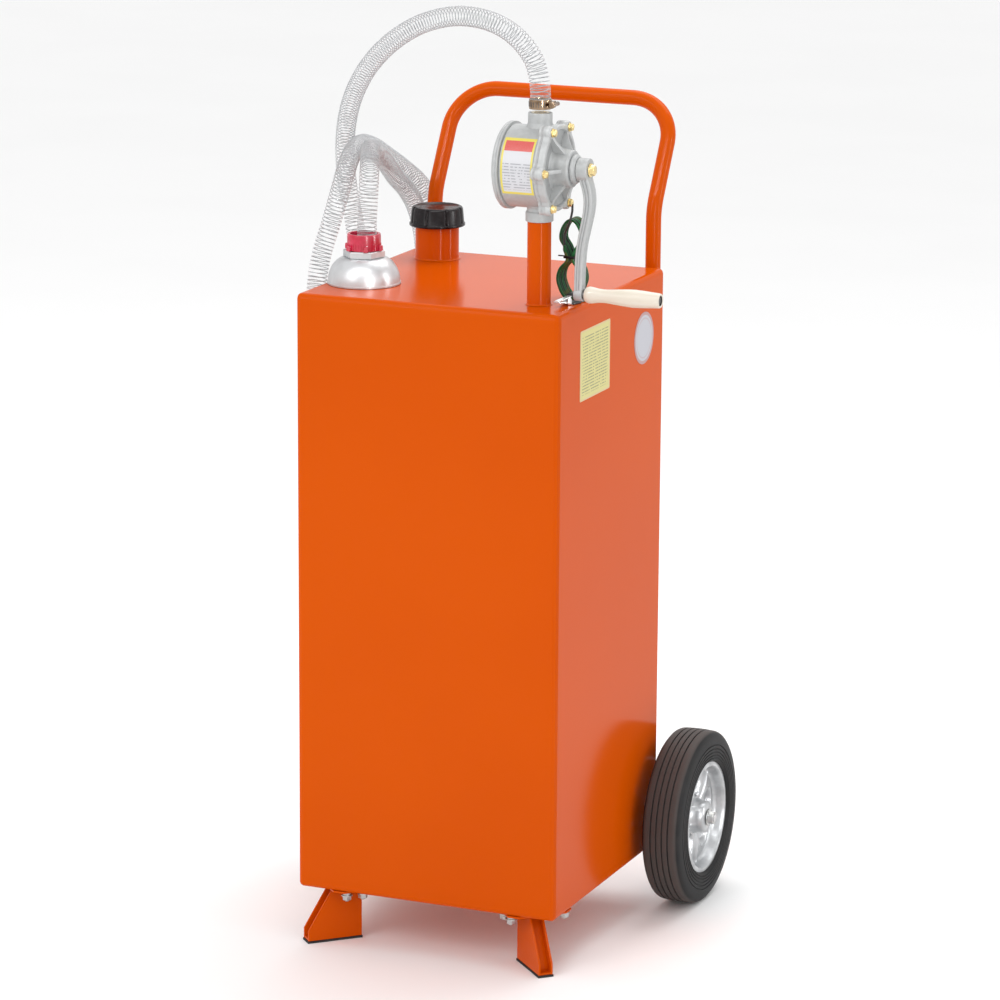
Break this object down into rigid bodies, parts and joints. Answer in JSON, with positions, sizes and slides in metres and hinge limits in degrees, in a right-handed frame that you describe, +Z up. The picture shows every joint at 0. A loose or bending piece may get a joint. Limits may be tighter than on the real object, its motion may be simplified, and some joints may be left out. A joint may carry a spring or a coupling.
{
  "type": "fuel caddy",
  "caption": "Upright sheet-steel fuel tank on wheels and front feet, with a rotary crank pump, clear hose ending in a strainer, grounding lead, filler cap and push handle.",
  "frame": {"origin": "on the floor under the middle of the rigid parts' bounding box, cord nodes left out", "axes": "+Z up; +X to the right seen from the front, along the axle and the pump's shaft; +Y from the front feet towards the wheels and the push handle"},
  "size_m": [0.5967, 0.5418, 1.3288],
  "materials": {
    "orange_paint": "gloss orange powder coat",
    "cast_grey": "as-cast light grey",
    "black_plastic": "matt black",
    "black_rubber": "dull black",
    "tyre": "ribbed tread, dull black",
    "brass": "bright",
    "zinc": "zinc plated",
    "steel": "plain bright steel",
    "wood": "pale turned wood, clear lacquer",
    "clear_hose": "clear hose with a wire helix inside",
    "silver_shell": "bright silver plating",
    "crimson_plastic": "translucent crimson",
    "green_wire": "dark green insulation",
    "black_wire": "black insulation",
    "graphite": "dark grey"
  },
  "bodies": {
    "caddy": {"axle": "steel", "axle_bracket_left": "orange_paint", "axle_bracket_right": "orange_paint", "axle_nut_left": "zinc", "axle_nut_right": "zinc", "clip_lower": "steel", "clip_spring": "steel", "cover_bolt_1": "brass", "cover_bolt_2": "brass", "cover_bolt_3": "brass", "cover_bolt_4": "brass", "cover_bolt_5": "brass", "cover_bolt_6": "brass", "cover_gasket": "graphite", "filler_neck": "orange_paint", "foot_left": "orange_paint", "foot_pad_left": "black_rubber", "foot_pad_right": "black_rubber", "foot_right": "orange_paint", "front_cover": "cast_grey", "ground_hank": "green_wire", "ground_lead": "black_wire", "handle": "orange_paint", "handle_bolt_1": "zinc", "handle_bolt_2": "zinc", "handle_bolt_3": "zinc", "handle_bolt_4": "zinc", "handle_standoff_left": "orange_paint", "handle_standoff_right": "orange_paint", "hank_tie": "black_plastic", "hose": "clear_hose", "hose_clamp": "steel", "hose_collar": "crimson_plastic", "outlet_tail": "brass", "pump_body": "cast_grey", "rear_cover": "cast_grey", "riser_post": "orange_paint", "shaft_gland": "cast_grey", "strainer_bell": "silver_shell", "strainer_mesh": "silver_shell", "strainer_neck": "silver_shell", "suction_tube": "steel", "tank_floor": "orange_paint", "tank_shell": "orange_paint", "tank_top": "orange_paint"},
    "crank": {"pump_shaft": "steel", "rotor": "steel", "vane_1": "graphite", "vane_2": "graphite", "crank_arm": "cast_grey", "crank_bolt": "brass", "grip_spindle": "steel"},
    "grip": {"crank_grip": "wood"},
    "wheel_left": {"tyre_left": "tyre", "hub_left": "cast_grey"},
    "wheel_right": {"tyre_right": "tyre", "hub_right": "cast_grey"},
    "cap_seal": {"cap_gasket": "black_rubber"},
    "cap": {"filler_cap": "black_plastic"},
    "clip_jaw": {"clip_upper": "steel"}
  },
  "joints": [
    {"name": "crank_turn", "type": "hinge", "parent": "caddy", "child": "crank", "pos_m": [0.07294, -0.1959, 1.1253], "axis": [1, 0, 0], "continuous": true},
    {"name": "grip_spin", "type": "hinge", "parent": "crank", "child": "grip", "pos_m": [0.18957, -0.1959, 0.9553], "axis": [1, 0, 0], "continuous": true},
    {"name": "wheel_left_spin", "type": "hinge", "parent": "caddy", "child": "wheel_left", "pos_m": [-0.25926, 0.1439, 0.127], "axis": [1, 0, 0], "continuous": true},
    {"name": "wheel_right_spin", "type": "hinge", "parent": "caddy", "child": "wheel_right", "pos_m": [0.22514, 0.1439, 0.127], "axis": [1, 0, 0], "continuous": true},
    {"name": "cap_lift", "type": "slide", "parent": "caddy", "child": "cap_seal", "axis": [0, 0, 1], "range_m": [0, 0.0122]},
    {"name": "cap_turn", "type": "hinge", "parent": "cap_seal", "child": "cap", "pos_m": [-0.14706, 0.0678, 1.0057], "axis": [0, 0, 1], "range_deg": [0, 720]},
    {"name": "clip_open", "type": "hinge", "parent": "caddy", "child": "clip_jaw", "pos_m": [0.15871, -0.1864, 0.9444], "axis": [-0.9563, 0.2924, 0], "range_deg": [0, 20], "stiffness_Nm_per_rad": 0.3, "springref_deg": -17.19}
  ],
  "couplings": [
    {"joint": "cap_lift", "follows": "cap_turn", "m_per_rad": 0.00095493}
  ]
}
